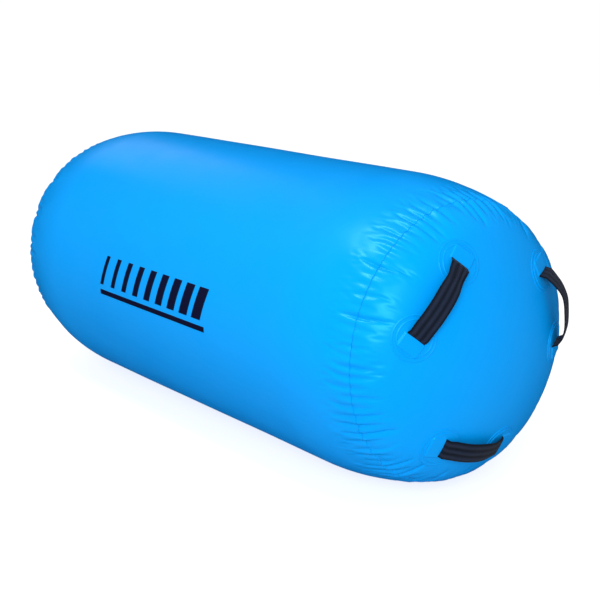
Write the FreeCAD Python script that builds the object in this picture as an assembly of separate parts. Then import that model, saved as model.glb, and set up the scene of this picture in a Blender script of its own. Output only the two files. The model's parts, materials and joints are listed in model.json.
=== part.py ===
"""Inflatable gymnastics barrel: an air-filled PVC roller with domed ends, webbing handles and a push valve.

The barrel lies on its side. X runs along its axis, +X to the front end, and Z is up.
The origin is on the floor, under the middle of the barrel. All sizes are in millimetres.
The skin is several plies of coated sheet. A ply is named by its height above the outer surface,
so a negative height lies inside the barrel. WELD_GAP keeps welded plies from sharing volume.
"""
import FreeCAD, Part

import math
import os
from functools import lru_cache

from FreeCAD import Placement, Rotation, Vector

# Barrel
BARREL_RADIUS = 375.0
STRAIGHT_HALF_LENGTH = 513.0  # from the middle to where the wall starts to curve in
SEAM_X = 742.0                # the weld between wall and end cap
SEAM_RADIUS = 337.0
POLE_X = 886.0                # the middle of the end cap's dome
CROWN_ANGLE = 63.0            # degrees between the dome's rim arc and its flatter crown arc, from radial
FOOT_WIDTH = 90.0             # the strip that flattens where the barrel rests on the floor

# Sheet
SHEET = 0.9
WELD_GAP = 0.05
END_LAP = 30.0                # how far the end cap's rim reaches under the wall
JOGGLE = 6.0                  # the step in the cap's sheet beside the seam
TAPE_WIDTH = 40.0
WALL_LAP = 32.0               # the wall sheet's overlap on itself, along the barrel
WALL_LAP_ANGLE = 62.0         # where that overlap lies around the axis, degrees from +Y towards +Z

# Handles
HANDLE_ANGLES = (18.0, 138.0, 258.0)   # degrees from +Y towards +Z, seen from the front end
HANDLE_RADIUS = 220.5         # from the axis to the middle of a handle
SLIT_HALF_SPACING = 97.5      # from the middle of a handle to each slit
WEBBING_WIDTH = 50.0
WEBBING = 2.4
BASE_PATCH_RADIUS = 53.0
COVER_PATCH_RADIUS = 43.5
TAIL_LENGTH = 32.0            # webbing welded under the cover patch
SLIT_OPENING = 6.0
POCKET_WALL = 1.5
MOUTH_GAP = 0.3               # from the pocket's mouth to where the webbing starts to rise
LIFT_ANGLE = 24.0             # how steeply the webbing leaves the slit
BEND_RADIUS = 8.0
GRIP_HALF_LENGTH = 54.0       # the hand's part of the webbing, which swings
GRIP_GAP = 0.6

# Side print, a plain slanted-bar motif
PRINT_LENGTH = 500.0
PRINT_BARS = 9
PRINT_SLANT = 28.0
PRINT_HEIGHT = 82.0
PRINT_RULE = 14.0
PRINT_FILM = 0.2
PRINT_Z = -16.0               # the rule's lower edge, from the axis

# Valve: heights are above the rear pole, outward
VALVE_PATCH_RADIUS = 62.0
VALVE_HOLE = 21.0
FLANGE_RADIUS, FLANGE_LOW, FLANGE_TOP = 31.0, 3.25, 6.5
NECK_RADIUS, NECK_TOP, THROAT = 18.0, 15.0, 11.0
SOCKET_RADIUS, SOCKET_LOW = 12.5, 7.3      # takes the pump's nozzle
LIP_LOW, LIP_TOP, LIP_BORE = -12.0, -9.0, 9.5
TUBE_RADIUS, TUBE_BORE, TUBE_LOW = 20.0, 15.0, -30.0
HUB_RADIUS, ARM_WIDTH = 5.0, 2.4
STEM_RADIUS, STEM_LOW, STEM_TOP = 2.5, -15.2, 4.0
RUNNING_GAP = 0.05
DIAPHRAGM_RADIUS = 13.0
BUTTON_RADIUS, BUTTON_LOW, BUTTON_TOP = 6.5, 3.0, 7.0
SPRING_RADIUS, SPRING_WIRE, SPRING_TURNS = 4.4, 0.5, 4
NUT_RADIUS, NUT_LOW, NUT_SLOTS = 31.0, -9.0, 6
ANCHOR_RADIUS, ANCHOR_TOP = 22.5, 8.1
CAP_RADIUS, SKIRT_BORE, SKIRT_LOW, CAP_TOP = 22.0, 18.8, 8.6, 19.3
CAP_INSIDE = 16.3
CAP_RIBS = 18
LOOP_RADIUS, LOOP_LOW, LOOP_TOP = 24.2, 9.0, 10.5
TETHER_WIDTH = 9.0
FLIP_DISTANCE = 30.0          # the tether's bend below the valve's centre

FOOT_SINK = BARREL_RADIUS - math.sqrt(BARREL_RADIUS**2 - (FOOT_WIDTH / 2) ** 2)
AXIS_Z = BARREL_RADIUS - FOOT_SINK
FAR = 3 * POLE_X              # well outside the barrel
BASE_LOW = WELD_GAP           # ply heights of a handle's patches
COVER_LOW = SHEET + 2 * WELD_GAP

PARTS = "parts"


# Outline of the barrel: straight wall, shoulder arc, dome rim arc, dome crown arc, all tangent

def shoulder_arc():
    """Centre, radius and end angle of the arc that carries the wall in to the seam."""
    drop = BARREL_RADIUS - SEAM_RADIUS
    run = SEAM_X - STRAIGHT_HALF_LENGTH
    radius = (run**2 + drop**2) / (2 * drop)
    return (STRAIGHT_HALF_LENGTH, BARREL_RADIUS - radius), radius, math.asin(run / radius)


def dome_arcs():
    """The rim arc and the crown arc, each as centre and radius, that join the seam to the pole."""
    _, _, start = shoulder_arc()
    turn = math.radians(CROWN_ANGLE)
    run, rise = POLE_X - SEAM_X, SEAM_RADIUS
    a, b = math.sin(turn) - math.sin(start), 1 - math.sin(turn)
    c, d = math.cos(start) - math.cos(turn), math.cos(turn)
    rim = (run * d - b * rise) / (a * d - b * c)
    crown = (a * rise - run * c) / (a * d - b * c)
    rim_centre = (SEAM_X - rim * math.sin(start), SEAM_RADIUS - rim * math.cos(start))
    return (rim_centre, rim), ((POLE_X - crown, 0.0), crown)


def on_arc(centre, radius, angle):
    """A point of an arc, in (x, distance from the axis); angle runs from radial towards +X."""
    return Vector(centre[0] + radius * math.sin(angle), 0, centre[1] + radius * math.cos(angle))


def arc_edge(centre, radius, first, last):
    middle = (first + last) / 2
    points = [on_arc(centre, radius, angle) for angle in (first, middle, last)]
    return Part.Arc(*points).toShape()


@lru_cache(maxsize=None)
def body(height):
    """The whole barrel as a solid, grown outward by height, with its foot flattened by the same amount."""
    shoulder_centre, shoulder, shoulder_end = shoulder_arc()
    (rim_centre, rim), (crown_centre, crown) = dome_arcs()
    turn = math.radians(CROWN_ANGLE)
    arcs = [
        arc_edge(shoulder_centre, shoulder + height, 0, shoulder_end),
        arc_edge(rim_centre, rim + height, shoulder_end, turn),
        arc_edge(crown_centre, crown + height, turn, math.pi / 2),
    ]
    top = Vector(STRAIGHT_HALF_LENGTH, 0, BARREL_RADIUS + height)
    middle = Vector(0, 0, BARREL_RADIUS + height)
    pole = Vector(POLE_X + height, 0, 0)
    edges = [Part.makeLine(Vector(), middle), Part.makeLine(middle, top)] + arcs
    edges.append(Part.makeLine(pole, Vector()))
    face = Part.Face(Part.Wire(Part.__sortEdges__(edges)))
    half = face.revolve(Vector(), Vector(1, 0, 0), 360)
    whole = half.fuse(half.mirror(Vector(), Vector(1, 0, 0))).removeSplitter()
    whole.translate(Vector(0, 0, AXIS_Z))
    floor = Part.makeBox(2 * FAR, 2 * FAR, FAR, Vector(-FAR, -FAR, -FAR - height))
    return whole.cut(floor)


@lru_cache(maxsize=None)
def ply(low, high):
    """The part of space between two heights above the outer surface."""
    return body(high).cut(body(low))


def slab(first_x, last_x):
    return Part.makeBox(last_x - first_x, 2 * FAR, 2 * FAR, Vector(first_x, -FAR, -FAR))


def sector(angle, width):
    """A plank that stands on the axis and points out at an angle from +Y towards +Z."""
    plank = Part.makeBox(2 * FAR, width, FAR, Vector(-FAR, -width / 2, 0))
    plank.rotate(Vector(), Vector(1, 0, 0), angle - 90)
    plank.translate(Vector(0, 0, AXIS_Z))
    return plank


def to_rear(shape):
    return shape.mirror(Vector(), Vector(1, 0, 0))


# Skin

def barrel_wall():
    """One sheet rolled into a tube, with its edge lapped over itself along the back."""
    tube = ply(-SHEET, 0).common(slab(-SEAM_X, SEAM_X))
    inset = SEAM_X - JOGGLE
    lap = ply(0, SHEET).common(slab(-inset, inset)).common(sector(WALL_LAP_ANGLE, WALL_LAP))
    return tube.fuse(lap).removeSplitter()


def wall_seam_tape():
    inset = SEAM_X - END_LAP - JOGGLE
    inside = ply(-2 * SHEET - WELD_GAP, -SHEET - WELD_GAP)
    return inside.common(slab(-inset, inset)).common(sector(WALL_LAP_ANGLE, TAPE_WIDTH))


def end_cap():
    """A round sheet that blows out into a dome; its rim steps in and runs under the wall."""
    edge = SEAM_X + WELD_GAP
    under = -SHEET - WELD_GAP
    dome = ply(-SHEET, 0).common(slab(edge, FAR))
    rim = ply(under - SHEET, under).common(slab(SEAM_X - END_LAP, SEAM_X + JOGGLE))
    step = ply(under - SHEET, 0).common(slab(edge, SEAM_X + JOGGLE))
    return dome.fuse([rim, step]).removeSplitter()


def end_seam_tape():
    low = -3 * SHEET - 2 * WELD_GAP
    return ply(low, low + SHEET).common(slab(SEAM_X - TAPE_WIDTH / 2, SEAM_X + TAPE_WIDTH / 2))


def side_print():
    """Slanted bars over a thin rule, as film on the wall's -Y side."""
    film = ply(WELD_GAP, WELD_GAP + PRINT_FILM)
    pitch = PRINT_LENGTH / PRINT_BARS
    start = -PRINT_LENGTH / 2
    foot = AXIS_Z + PRINT_Z
    stencils = [Part.makeBox(PRINT_LENGTH, FAR, PRINT_RULE, Vector(start, -FAR, foot))]
    low = foot + 2 * PRINT_RULE
    for bar in range(PRINT_BARS):
        width = pitch * (0.30 + 0.05 * bar)
        left = start + bar * pitch
        corners = [
            (left, low),
            (left + width, low),
            (left + width + PRINT_SLANT, low + PRINT_HEIGHT),
            (left + PRINT_SLANT, low + PRINT_HEIGHT),
        ]
        outline = Part.makePolygon([Vector(x, 0, z) for x, z in corners + corners[:1]])
        stencils.append(Part.Face(outline).extrude(Vector(0, -FAR, 0)))
    return Part.makeCompound([film.common(stencil) for stencil in stencils])


# Handles

def dome_point(y, z):
    """The point of the front dome at an offset from the axis, and the outward normal there."""
    (rim_centre, rim), (crown_centre, crown) = dome_arcs()
    reach = math.hypot(y, z)
    if reach <= crown * math.cos(math.radians(CROWN_ANGLE)):
        centre, radius = crown_centre, crown
    else:
        centre, radius = rim_centre, rim
    cosine = (reach - centre[1]) / radius
    sine = math.sqrt(1 - cosine**2)
    point = Vector(centre[0] + radius * sine, y, z + AXIS_Z)
    return point, Vector(sine, cosine * y / reach, cosine * z / reach)


def handle_frame(angle):
    """Slit points, their normals, and the handle's own axes: along the chord, across, and out."""
    radians = math.radians(angle)
    out = (math.cos(radians), math.sin(radians))
    middle = (HANDLE_RADIUS * out[0], HANDLE_RADIUS * out[1])
    slits = []
    for side in (-1, 1):
        offset = side * SLIT_HALF_SPACING
        slits.append(dome_point(middle[0] - offset * out[1], middle[1] + offset * out[0]))
    (first, first_normal), (last, last_normal) = slits
    rise = COVER_LOW + WEBBING / 2
    ends = (first + first_normal * rise, last + last_normal * rise)
    along = (ends[1] - ends[0]).normalize()
    outward = first_normal + last_normal
    outward = (outward - along * outward.dot(along)).normalize()
    return slits, ends, along, outward.cross(along), outward


def patch_frame(point, normal, away):
    """Local axes at a slit: X away from the handle's middle, Y along the slit, Z out."""
    away = (away - normal * away.dot(normal)).normalize()
    return Placement(point, Rotation(away, normal.cross(away), normal, "ZXY"))


def patch_disc(frame, radius, low, high):
    depth = 30.0
    punch = Part.makeCylinder(radius, 2 * depth, Vector(0, 0, -depth))
    punch.Placement = frame
    return ply(low, high).common(punch)


def patch_block(frame, first, last, half_width, low, high):
    """Material of a ply between two distances from the slit, across a width."""
    depth = 30.0
    block = Part.makeBox(last - first, 2 * half_width, 2 * depth, Vector(first, -half_width, -depth))
    block.Placement = frame
    return ply(low, high).common(block)


def cover_patch(frame):
    """The top disc, with a raised pocket over the webbing's tail and a slit where it comes out."""
    half = WEBBING_WIDTH / 2
    clear = half + 0.3
    tail_top = COVER_LOW + WEBBING + WELD_GAP
    disc = patch_disc(frame, COVER_PATCH_RADIUS, COVER_LOW, COVER_LOW + SHEET)
    pocket = patch_block(frame, 0, TAIL_LENGTH + POCKET_WALL, half + POCKET_WALL, COVER_LOW, tail_top + SHEET)
    hollow = patch_block(frame, -SLIT_OPENING, TAIL_LENGTH + 0.3, clear, COVER_LOW - WELD_GAP, tail_top)
    slit = patch_block(frame, -SLIT_OPENING, 0, clear, COVER_LOW - WELD_GAP, tail_top + 2 * SHEET)
    return disc.fuse(pocket).cut(hollow).cut(slit).removeSplitter()


def webbing_side(offset, slope, reach):
    """One long side of the webbing's arch, as edges, seen along the slit; offset is from its middle line."""
    steep = slope + math.radians(LIFT_ANGLE)
    lead = Vector(-reach, 0, 0)
    ahead = Vector(math.cos(slope), 0, math.sin(slope))
    above = Vector(-math.sin(slope), 0, math.cos(slope))
    bend_start = lead + ahead
    bend_centre = bend_start + above * BEND_RADIUS

    def on_bend(angle, radius):
        return bend_centre + Vector(math.sin(angle), 0, -math.cos(angle)) * radius

    bend_end = on_bend(steep, BEND_RADIUS)
    arch = -bend_end.x / math.sin(steep)
    arch_centre = (0.0, bend_end.z - arch * math.cos(steep))
    inner_bend = BEND_RADIUS - offset
    bend = [on_bend(angle, inner_bend) for angle in (slope, (slope + steep) / 2, steep)]
    tip = lead + ahead * MOUTH_GAP + above * offset
    edges = [Part.makeLine(tip, bend[0]), Part.Arc(*bend).toShape()]
    far_side = [edge.mirror(Vector(), Vector(1, 0, 0)) for edge in edges]
    top = arc_edge(arch_centre, arch + offset, -steep, steep)
    return edges + [top] + far_side, tip


def webbing_arch(ends, along, across, outward, slope):
    """The free webbing from slit to slit, as one band."""
    reach = (ends[1] - ends[0]).Length / 2
    upper, upper_tip = webbing_side(WEBBING / 2, slope, reach)
    lower, lower_tip = webbing_side(-WEBBING / 2, slope, reach)
    closers = [Part.makeLine(upper_tip, lower_tip)]
    closers.append(closers[0].mirror(Vector(), Vector(1, 0, 0)))
    outline = Part.Wire(Part.__sortEdges__(upper + lower + closers))
    band = Part.Face(outline).extrude(Vector(0, WEBBING_WIDTH, 0))
    band.translate(Vector(0, -WEBBING_WIDTH / 2, 0))
    band.Placement = Placement((ends[0] + ends[1]) / 2, Rotation(along, across, outward, "ZXY")) * band.Placement
    return band


def reach_slab(ends, along, across, outward, half_length):
    """Everything within half_length of the handle's middle, measured along its chord."""
    depth = 200.0
    block = Part.makeBox(2 * half_length, 2 * depth, 2 * depth, Vector(-half_length, -depth, -depth))
    block.Placement = Placement((ends[0] + ends[1]) / 2, Rotation(along, across, outward, "ZXY"))
    return block


def handle(angle):
    """Every piece of one front handle, by the last part of its node name."""
    slits, ends, along, across, outward = handle_frame(angle)
    frames = [
        patch_frame(*slits[0], -along),
        patch_frame(*slits[1], along),
    ]
    slope = math.pi / 2 - along.getAngle(slits[1][1])
    band = webbing_arch(ends, along, across, outward, slope)
    grip = band.common(reach_slab(ends, along, across, outward, GRIP_HALF_LENGTH))
    stubs = band.cut(reach_slab(ends, along, across, outward, GRIP_HALF_LENGTH + GRIP_GAP)).Solids
    stubs.sort(key=lambda stub: (stub.CenterOfMass - ends[0]).dot(along))
    pieces = {"grip": grip}
    tails = []
    for name, frame, stub in zip("ab", frames, stubs):
        start = -SLIT_OPENING * 0.75
        tail = patch_block(frame, start, TAIL_LENGTH, WEBBING_WIDTH / 2, COVER_LOW, COVER_LOW + WEBBING)
        tails.append(tail.fuse(stub).removeSplitter())
        pieces["base_patch_" + name] = patch_disc(frame, BASE_PATCH_RADIUS, BASE_LOW, BASE_LOW + SHEET)
        pieces["cover_patch_" + name] = cover_patch(frame)
    pieces["webbing_ends"] = Part.makeCompound(tails)
    return pieces


# Valve, in its own frame: Z outward from the rear pole, Y up

def ring(radius, bore, low, high):
    outer = Part.makeCylinder(radius, high - low, Vector(0, 0, low))
    if not bore:
        return outer
    return outer.cut(Part.makeCylinder(bore, high - low + 2, Vector(0, 0, low - 1)))


def around(shape, count):
    """Copies of a shape turned evenly about the valve's axis."""
    copies = []
    for index in range(count):
        copy = shape.copy()
        copy.rotate(Vector(), Vector(0, 0, 1), index * 360.0 / count)
        copies.append(copy)
    return copies


def valve_place():
    return Placement(Vector(-POLE_X, 0, AXIS_Z), Rotation(Vector(0, -1, 0), Vector(0, 0, 1), Vector(-1, 0, 0), "ZXY"))


def placed(shape):
    copy = shape.copy()
    copy.Placement = valve_place() * copy.Placement
    return copy


def valve_body():
    """Flange, neck and inner tube in one moulding, with a three-armed spider that guides the stem."""
    moulding = ring(FLANGE_RADIUS, THROAT, FLANGE_LOW, FLANGE_TOP)
    neck = ring(NECK_RADIUS, THROAT, LIP_TOP, NECK_TOP)
    collar = ring(TUBE_RADIUS, THROAT, LIP_TOP, FLANGE_LOW)
    lip = ring(TUBE_RADIUS, LIP_BORE, LIP_LOW, LIP_TOP)
    tube = ring(TUBE_RADIUS, TUBE_BORE, TUBE_LOW, LIP_LOW)
    hub = ring(HUB_RADIUS, STEM_RADIUS + RUNNING_GAP, LIP_LOW, LIP_TOP)
    reach = LIP_BORE + 1 - HUB_RADIUS * 0.8
    arm = Part.makeBox(reach, ARM_WIDTH, LIP_TOP - LIP_LOW, Vector(HUB_RADIUS * 0.8, -ARM_WIDTH / 2, LIP_LOW))
    socket = ring(SOCKET_RADIUS, 0, SOCKET_LOW, NECK_TOP + 1)
    return moulding.fuse([neck, collar, lip, tube, hub] + around(arm, 3)).cut(socket).removeSplitter()


def valve_gasket():
    """A rubber ring whose underside follows the dome."""
    blank = ring(FLANGE_RADIUS, VALVE_HOLE, -4, FLANGE_LOW - WELD_GAP)
    return placed(blank).cut(body(COVER_LOW))


def valve_clamp_nut():
    blank = ring(NUT_RADIUS, TUBE_RADIUS + RUNNING_GAP, NUT_LOW, 0)
    slot = Part.makeBox(6, 5, 3, Vector(NUT_RADIUS - 5, -2.5, NUT_LOW))
    blank = blank.cut(around(slot, NUT_SLOTS))
    return placed(blank).common(body(-SHEET - WELD_GAP))


def valve_stem():
    return ring(STEM_RADIUS, 0, STEM_LOW, STEM_TOP)


def valve_diaphragm():
    """The rubber disc that the spring pulls up against the lip."""
    return ring(DIAPHRAGM_RADIUS, STEM_RADIUS + WELD_GAP, STEM_LOW, LIP_LOW - WELD_GAP)


def valve_spring():
    """A coil built from quarter-turn arcs, each through three points of the helix."""
    low, high = LIP_TOP + SPRING_WIRE + RUNNING_GAP, BUTTON_LOW - SPRING_WIRE - RUNNING_GAP
    steps = 8 * SPRING_TURNS
    points = []
    for step in range(steps + 1):
        turned = step * math.pi / 4
        height = low + (high - low) * step / steps
        points.append(Vector(SPRING_RADIUS * math.cos(turned), SPRING_RADIUS * math.sin(turned), height))
    spine = [Part.Arc(*points[step:step + 3]).toShape() for step in range(0, steps, 2)]
    slope = (high - low) / (2 * math.pi * SPRING_RADIUS * SPRING_TURNS)
    section = Part.makeCircle(SPRING_WIRE, points[0], Vector(0, 1, slope))
    return Part.Wire(spine).makePipeShell([Part.Wire(section)], True, False)


def valve_button():
    """A push button with two finger wings; it grips the stem's top."""
    knob = ring(BUTTON_RADIUS, 0, BUTTON_LOW, BUTTON_TOP - 1.5)
    wings = Part.makeBox(2 * BUTTON_RADIUS - 2, 3, 2, Vector(1 - BUTTON_RADIUS, -1.5, BUTTON_TOP - 2))
    socket = ring(STEM_RADIUS + RUNNING_GAP, 0, BUTTON_LOW - 1, STEM_TOP + RUNNING_GAP)
    return knob.fuse(wings).cut(socket).removeSplitter()


def valve_cap():
    """A lid with a ribbed skirt that drops over the neck, and a grip bar across its top."""
    lid = ring(CAP_RADIUS, 0, CAP_INSIDE, CAP_TOP)
    skirt = ring(CAP_RADIUS - 0.8, SKIRT_BORE, SKIRT_LOW, CAP_INSIDE + 1)
    rib_height = CAP_INSIDE - LOOP_TOP - 0.5
    rib = Part.makeCylinder(1.2, rib_height, Vector(CAP_RADIUS - 1, 0, LOOP_TOP + 0.5))
    bar = Part.makeBox(2 * CAP_RADIUS - 12, 6, 4.5, Vector(6 - CAP_RADIUS, -3, CAP_TOP - 0.5))
    bar = bar.makeFillet(1.2, [edge for edge in bar.Edges if edge.BoundBox.ZMin > CAP_TOP])
    bored = around(rib, CAP_RIBS)
    return lid.fuse([skirt, bar] + bored).removeSplitter()


def valve_cap_seal():
    return ring(NECK_RADIUS - 0.2, SOCKET_RADIUS + 0.3, NECK_TOP + WELD_GAP, CAP_INSIDE - WELD_GAP)


def tether_tab(reach, low, high):
    """A strip from a tether ring down towards the tether's bend."""
    tip = FLIP_DISTANCE - 0.7
    return Part.makeBox(TETHER_WIDTH, tip - reach, high - low, Vector(-TETHER_WIDTH / 2, -tip, low))


def valve_tether_anchor():
    low = FLANGE_TOP + WELD_GAP
    band = ring(ANCHOR_RADIUS, NECK_RADIUS + 0.2, low, ANCHOR_TOP)
    return band.fuse(tether_tab(ANCHOR_RADIUS - 1, low, ANCHOR_TOP)).removeSplitter()


def valve_tether_loop():
    bore = CAP_RADIUS - 0.8 + RUNNING_GAP
    band = ring(LOOP_RADIUS, bore, LOOP_LOW, LOOP_TOP)
    return band.fuse(tether_tab(LOOP_RADIUS - 1, LOOP_LOW, LOOP_TOP)).removeSplitter()


def valve_patch():
    frame = Placement(Vector(-POLE_X, 0, AXIS_Z), valve_place().Rotation)
    disc = patch_disc(frame, VALVE_PATCH_RADIUS, BASE_LOW, BASE_LOW + SHEET)
    return disc.cut(placed(ring(VALVE_HOLE, 0, -20, 20)))


def all_parts():
    """Every node's name and shape."""
    cap = end_cap()
    tape = end_seam_tape()
    parts = {
        "barrel_wall": barrel_wall(),
        "wall_seam_tape": wall_seam_tape(),
        "side_print": side_print(),
        "front_end_cap": cap,
        "rear_end_cap": to_rear(cap).cut(placed(ring(VALVE_HOLE, 0, -20, 20))),
        "front_seam_tape": tape,
        "rear_seam_tape": to_rear(tape),
        "valve_patch": valve_patch(),
        "valve_gasket": valve_gasket(),
        "valve_clamp_nut": valve_clamp_nut(),
    }
    for make in (
        valve_body, valve_stem, valve_diaphragm, valve_spring, valve_button,
        valve_cap, valve_cap_seal, valve_tether_anchor, valve_tether_loop,
    ):
        parts[make.__name__] = placed(make())
    for number, angle in enumerate(HANDLE_ANGLES, start=1):
        for piece, shape in handle(angle).items():
            parts[f"front_handle_{number}_{piece}"] = shape
            parts[f"rear_handle_{number}_{piece}"] = to_rear(shape)
    return parts


def main():
    os.makedirs(PARTS, exist_ok=True)
    for name, shape in all_parts().items():
        shape.exportStep(os.path.join(PARTS, name + ".step"))
    for number, angle in enumerate(HANDLE_ANGLES, start=1):
        _, ends, along, _, outward = handle_frame(angle)
        print("handle", number, "axis", tuple(along), "through", tuple((ends[0] + ends[1]) / 2), "out", tuple(outward))
    print("axis height", AXIS_Z)


main()
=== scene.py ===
"""Looks for the inflatable gymnastics barrel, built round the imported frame. Sizes are in metres."""
import json
import math

import bpy
import numpy as np
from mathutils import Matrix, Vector


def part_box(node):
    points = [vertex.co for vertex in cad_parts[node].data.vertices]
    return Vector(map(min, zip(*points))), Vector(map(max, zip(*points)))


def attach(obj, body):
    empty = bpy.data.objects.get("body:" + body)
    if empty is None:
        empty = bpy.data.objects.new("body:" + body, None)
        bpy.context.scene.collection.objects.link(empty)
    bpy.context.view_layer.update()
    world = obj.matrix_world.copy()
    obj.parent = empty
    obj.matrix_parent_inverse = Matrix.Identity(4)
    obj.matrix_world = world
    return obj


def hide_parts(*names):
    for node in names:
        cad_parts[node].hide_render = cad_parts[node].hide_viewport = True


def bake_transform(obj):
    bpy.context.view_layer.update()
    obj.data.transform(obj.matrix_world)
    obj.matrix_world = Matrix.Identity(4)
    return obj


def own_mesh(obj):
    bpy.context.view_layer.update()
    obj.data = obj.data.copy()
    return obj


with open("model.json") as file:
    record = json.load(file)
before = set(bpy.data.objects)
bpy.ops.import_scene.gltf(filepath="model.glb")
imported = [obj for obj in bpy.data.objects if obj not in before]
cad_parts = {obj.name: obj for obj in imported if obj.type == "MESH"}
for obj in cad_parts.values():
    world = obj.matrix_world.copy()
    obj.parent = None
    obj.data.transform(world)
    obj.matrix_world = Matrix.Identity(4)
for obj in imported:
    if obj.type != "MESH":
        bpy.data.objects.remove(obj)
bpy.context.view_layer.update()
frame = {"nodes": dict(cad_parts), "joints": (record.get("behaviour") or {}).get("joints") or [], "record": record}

RECORD = frame["record"]
JOINTS = {joint["name"]: joint for joint in frame["joints"]}
TURN = 2 * math.pi

# Barrel, from the frame
wall_low, wall_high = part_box("barrel_wall")
RADIUS = (wall_high.y - wall_low.y) / 2
AXIS_Z = wall_high.z - RADIUS
SEAM_X = wall_high.x
POLE_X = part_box("front_end_cap")[1].x

# Barrel outline: straight wall, shoulder arc, rim arc, crown arc
STRAIGHT_X = 0.513
SEAM_RADIUS = 0.337
CROWN_ANGLE = math.radians(63)

# Skin
SHEET = 0.0009
AROUND = 400                  # points round the barrel
ROW = 0.006                   # spacing of the rows that pucker
COARSE_ROW = 0.024            # spacing of the rows along the straight wall
THIN_RING = 0.42 * ROW        # where points round a ring come closer than this, half are left out
PUCKER_START = 0.4125         # along the skin from the middle, where the simulated end begins
PUCKERS = 81                  # round the seam
PUCKER_GAIN = 1.2             # how much deeper they are than the simulation makes them
PUCKER_FADE = 0.06            # length over which they come in
CALM_SHARE = 0.8              # share of a ring's points that lie inside its smooth radius
PLAIN_DOME = 0.295            # inside this radius the dome has no puckers, so the patches lie flat
DOME_FADE = (0.020, 0.015)    # how far inside and outside that radius they go out
REAR_TURN = TURN * 128 / AROUND    # the rear puckers are the front ones turned round by this
SIM_FRAMES = 24
SEED_HEIGHT, SEED_REACH, SEED_SPREAD = 0.0008, 0.06, 12
SEED_WAVES = range(PUCKERS - 21, PUCKERS + 22, 3)
RIPPLE_HEIGHT = 0.0005
RIPPLES = (                   # share, waves along and round, phase
    (0.5, 9.1, 2.0, 0.7),
    (0.35, 15.7, -3.0, 0.0),
    (0.3, 6.3, 5.0, 1.9),
)
EDGE_INSET, EDGE_DEPTH = 0.0006, 0.0007    # the wall's cut edge at the seam
CAP_RIM = ((0.0, SHEET), (0.05, EDGE_DEPTH), (0.11, 0.0))    # share of the first row, depth
FLOOR_GAP, FLOOR_SOFTNESS, FLOOR_NEAR = 0.0003, 0.0005, 0.02

# Side print, wall lap and inner tapes
PRINT_LENGTH, PRINT_BARS, PRINT_SLANT = 0.500, 9, 0.028
PRINT_HEIGHT, PRINT_RULE, PRINT_Z = 0.082, 0.014, -0.016
PRINT_FILM, PRINT_FOOT, PRINT_EDGE = 0.0004, -0.0001, 0.0003
PRINT_ACROSS, PRINT_UP = 0.008, 0.006      # spacing of the film's points
BAR_SHARE, BAR_GROWTH = 0.30, 0.05         # first bar's share of its pitch, gain per bar
LAP_WIDTH, LAP_ANGLE = 0.032, math.radians(62)
TAPE_WIDTH = 0.040
LAP_STOP, TAPE_STOP = 0.006, 0.036         # how far from the seams they stop
STRIP_COLUMNS, STRIP_EDGE, STRIP_BEVEL = 13, 0.0004, 0.0002

# Handle patches
PATCH_AROUND = 144
BASE_PATCH_RADIUS, BASE_PATCH_HOLE = 0.053, 0.030
COVER_PATCH_RADIUS, COVER_HEIGHT, COVER_FOOT = 0.0435, 0.0019, 0.0006
PATCH_FOOT = -0.0003
PATCH_ROW, POCKET_ROW, BEAD_ROW = 0.003, 0.0012, 0.0004    # spacing of rings
BEAD_HEIGHT, BEAD_WIDTH = 0.0007, 0.0010
BASE_BEAD, COVER_BEAD = 0.0026, 0.0024     # how far in from the rim the bead runs
BASE_FINE, COVER_FINE = 0.0055, 0.0050     # how far in the fine rings reach
POCKET_HEIGHT, POCKET_MARGIN, POCKET_CORNER = 0.0026, 0.001, 0.006
POCKET_END, POCKET_SIDE, POCKET_ROUND = 0.0035, 0.0030, 0.0032    # lengths of the pocket's slopes
POCKET_LIP, POCKET_WEAVE, POCKET_PITCH = 0.0002, 0.00003, 0.0056

# Webbing
WEBBING = 0.0024
WEBBING_WIDTH = 0.050
HALF_CHORD = 0.0975           # from the handle's middle to a slit
TAIL_LENGTH, TAIL_HEIGHT = 0.034, 0.0022
TAIL_ROWS, FREE_ROWS, STRAP_COLUMNS = 12, 72, 27
TAIL_SLACK, ROW_BUNCHING = 0.002, 1.5
EDGE_SQUARENESS, EDGE_LEAST = 14, 0.05     # of the webbing's thickness towards its edges
THREAD_RELIEF, THREADS = 0.06, 9           # lengthwise threads in its thickness

# Valve, out from the rear dome's middle
VALVE_HOLE, VALVE_PATCH_RADIUS = 0.021, 0.062
SPRING_RADIUS, SPRING_WIRE, SPRING_TURNS = 0.0044, 0.0005, 4
SPRING_LOW, SPRING_HIGH, SPRING_TRAVEL = -0.00845, 0.00245, 0.0062
TETHER_WIDTH, TETHER_THICK = 0.0088, 0.0012
TETHER_TIP, TETHER_LOW, TETHER_HIGH, TETHER_FLAT = 0.0293, 0.0074, 0.0097, 0.0015

rng = np.random.default_rng(7)


# Outline

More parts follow.
